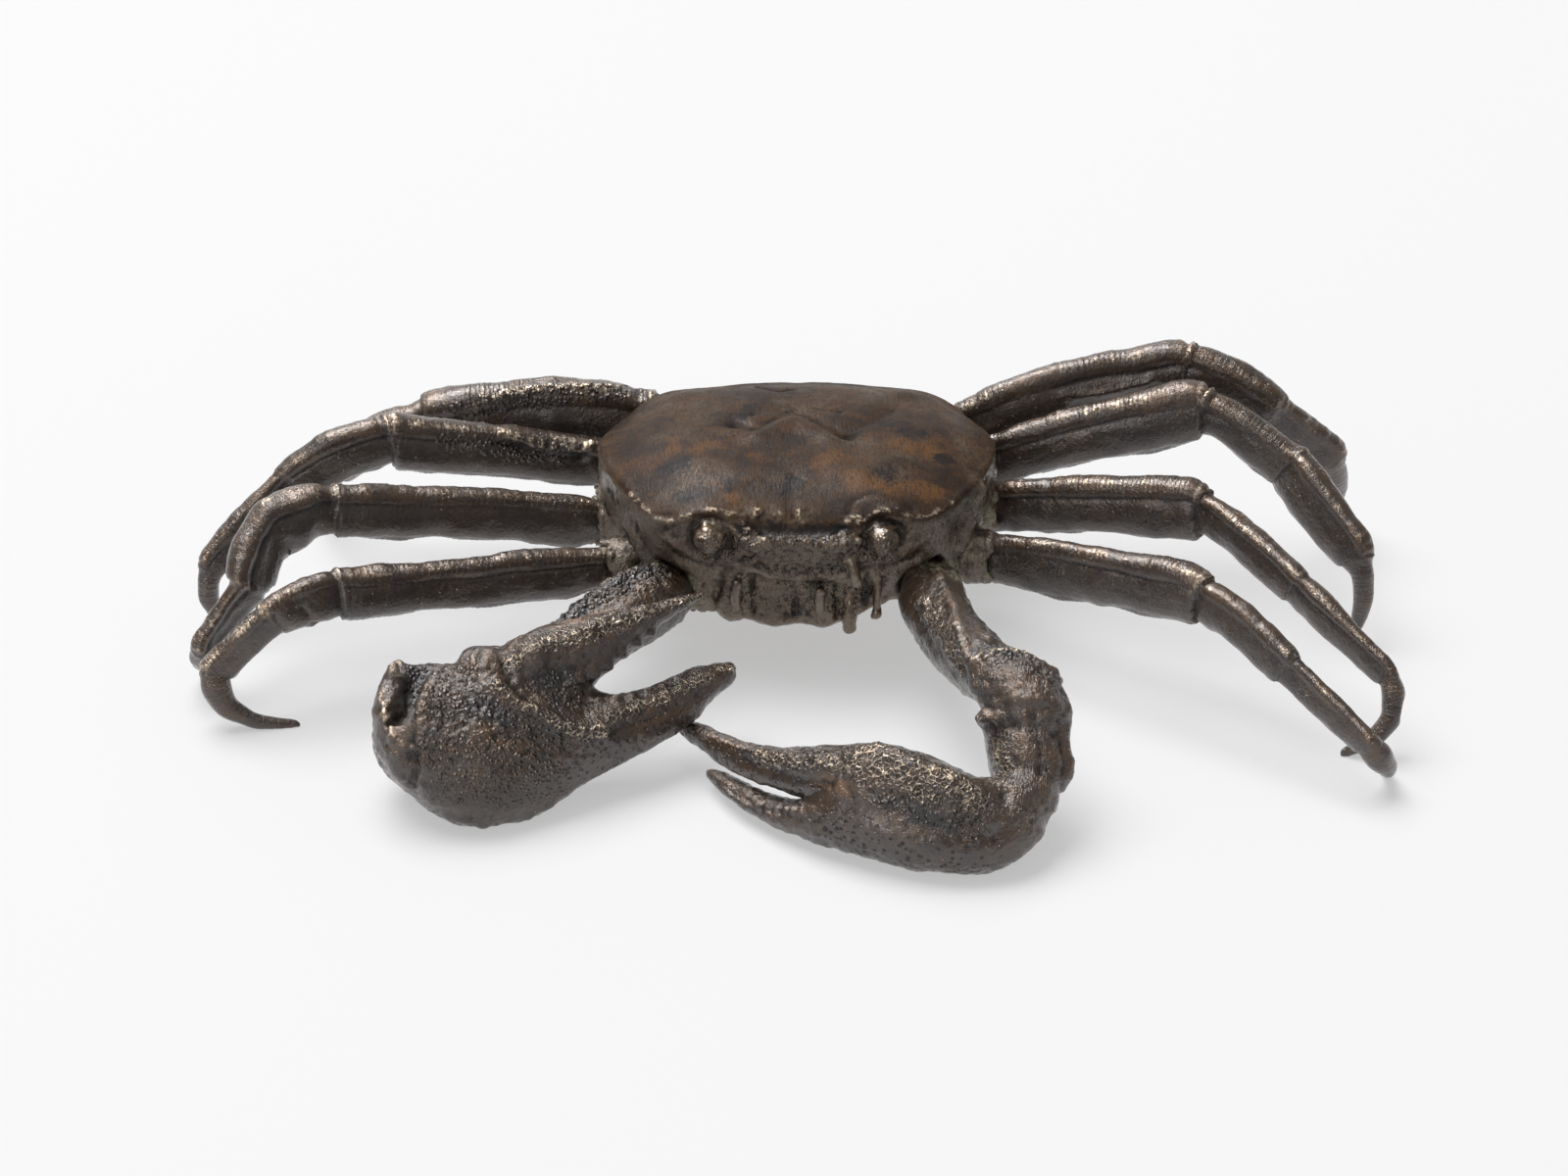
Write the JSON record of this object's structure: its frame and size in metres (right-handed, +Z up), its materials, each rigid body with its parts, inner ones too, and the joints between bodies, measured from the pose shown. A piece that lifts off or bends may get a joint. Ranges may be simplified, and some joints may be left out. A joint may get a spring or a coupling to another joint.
{
  "type": "bronze crab",
  "caption": "Crab cast in bronze from life, with a broad carapace, two claws and bent walking legs, standing on its leg tips and palms as a table ornament.",
  "frame": {"origin": "under the middle of the crab's bounding box, on the surface that it stands on", "axes": "+X towards the crab's left, -Y towards its front, +Z up"},
  "size_m": [0.1744, 0.1072, 0.0342],
  "materials": {
    "carapace_bronze": "warm brown patina with darker patches, worn bright at the rim, lacquered",
    "limb_bronze": "dark brown patina, worn bright along the crests, lacquered"
  },
  "bodies": {
    "root": {"body": "carapace_bronze", "claw_left": "limb_bronze", "claw_right": "limb_bronze", "leg_left_1": "limb_bronze", "leg_left_2": "limb_bronze", "leg_left_3": "limb_bronze", "leg_left_4": "limb_bronze", "leg_right_1": "limb_bronze", "leg_right_2": "limb_bronze", "leg_right_3": "limb_bronze", "leg_right_4": "limb_bronze"}
  },
  "joints": []
}
